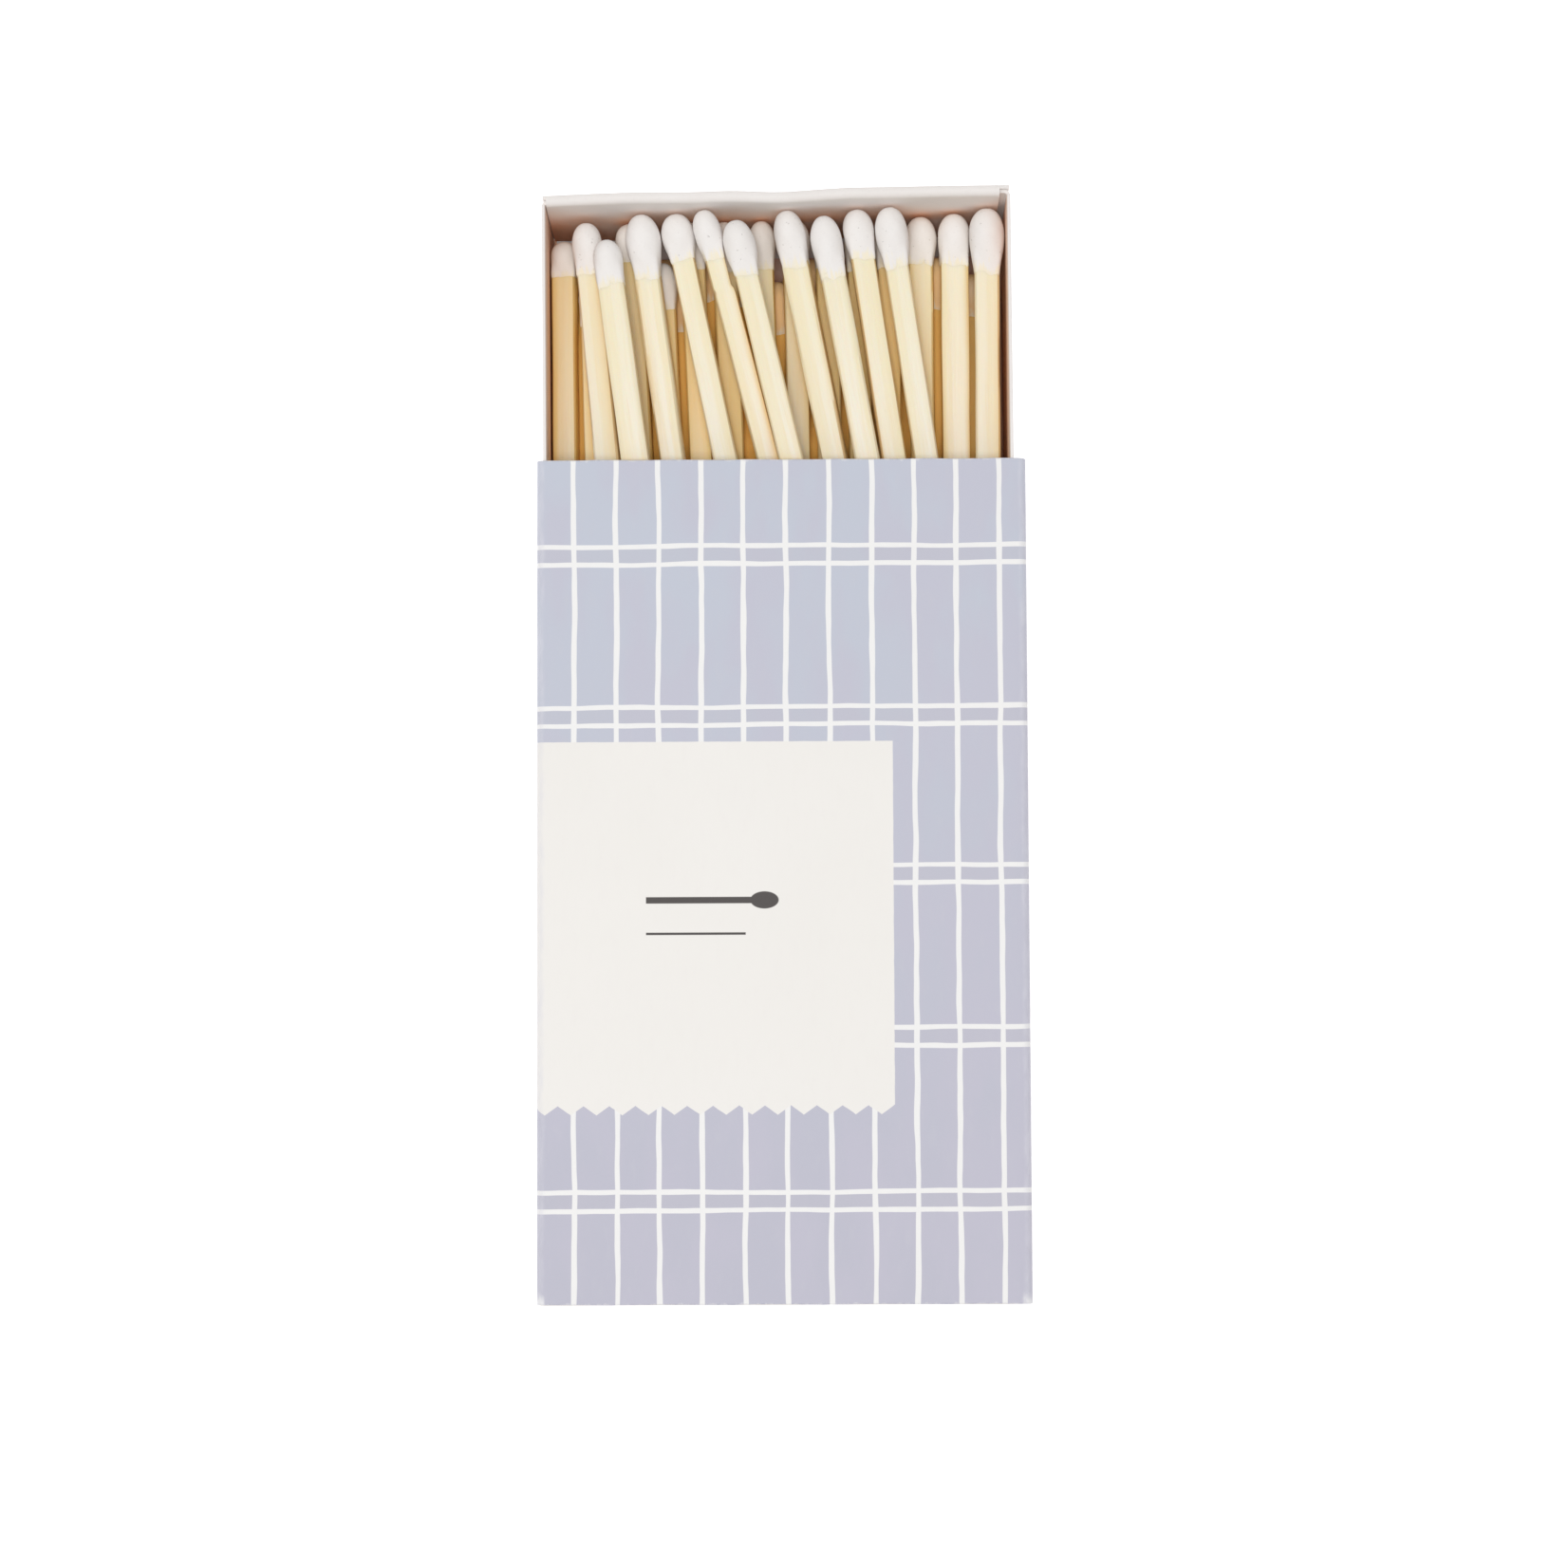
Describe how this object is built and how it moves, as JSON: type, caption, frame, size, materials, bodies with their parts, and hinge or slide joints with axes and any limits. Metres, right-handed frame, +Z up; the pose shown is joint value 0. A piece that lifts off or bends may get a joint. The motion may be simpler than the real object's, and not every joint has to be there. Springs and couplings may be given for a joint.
{
  "type": "matchbox",
  "caption": "Long card matchbox: an open-ended printed sleeve, with a folded card tray of loose long wooden matches that slides in it and stands part open.",
  "frame": {"origin": "centre of the sleeve's underside", "axes": "+Y along the box towards the end that the tray is drawn out of, +Z up through the printed face, +X across"},
  "size_m": [0.064, 0.1464, 0.02],
  "materials": {
    "printed_card": "satin print on white card, in blue-grey with thin off-white lines and a cream label field",
    "white_card": "matt uncoated white card",
    "match_wood": "split pale poplar, with a chalky off-white dipped head"
  },
  "bodies": {
    "sleeve": {"sleeve": "printed_card"},
    "tray": {"tray": "white_card", "match_01": "match_wood", "match_02": "match_wood", "match_03": "match_wood", "match_04": "match_wood", "match_05": "match_wood", "match_06": "match_wood", "match_07": "match_wood", "match_08": "match_wood", "match_09": "match_wood", "match_10": "match_wood", "match_11": "match_wood", "match_12": "match_wood", "match_13": "match_wood", "match_14": "match_wood", "match_15": "match_wood", "match_16": "match_wood", "match_17": "match_wood", "match_18": "match_wood", "match_19": "match_wood", "match_20": "match_wood", "match_21": "match_wood", "match_22": "match_wood", "match_23": "match_wood", "match_24": "match_wood", "match_25": "match_wood", "match_26": "match_wood", "match_27": "match_wood", "match_28": "match_wood", "match_29": "match_wood", "match_30": "match_wood", "match_31": "match_wood", "match_32": "match_wood", "match_33": "match_wood", "match_34": "match_wood", "match_35": "match_wood", "match_36": "match_wood", "match_37": "match_wood", "match_38": "match_wood", "match_39": "match_wood", "match_40": "match_wood", "match_41": "match_wood", "match_42": "match_wood", "match_43": "match_wood", "match_44": "match_wood", "match_45": "match_wood", "match_46": "match_wood", "match_47": "match_wood", "match_48": "match_wood", "match_49": "match_wood", "match_50": "match_wood", "match_51": "match_wood"}
  },
  "joints": [
    {"name": "tray_slide", "type": "slide", "parent": "sleeve", "child": "tray", "axis": [0, 1, 0], "range_m": [-0.1146, 0.0434]}
  ]
}
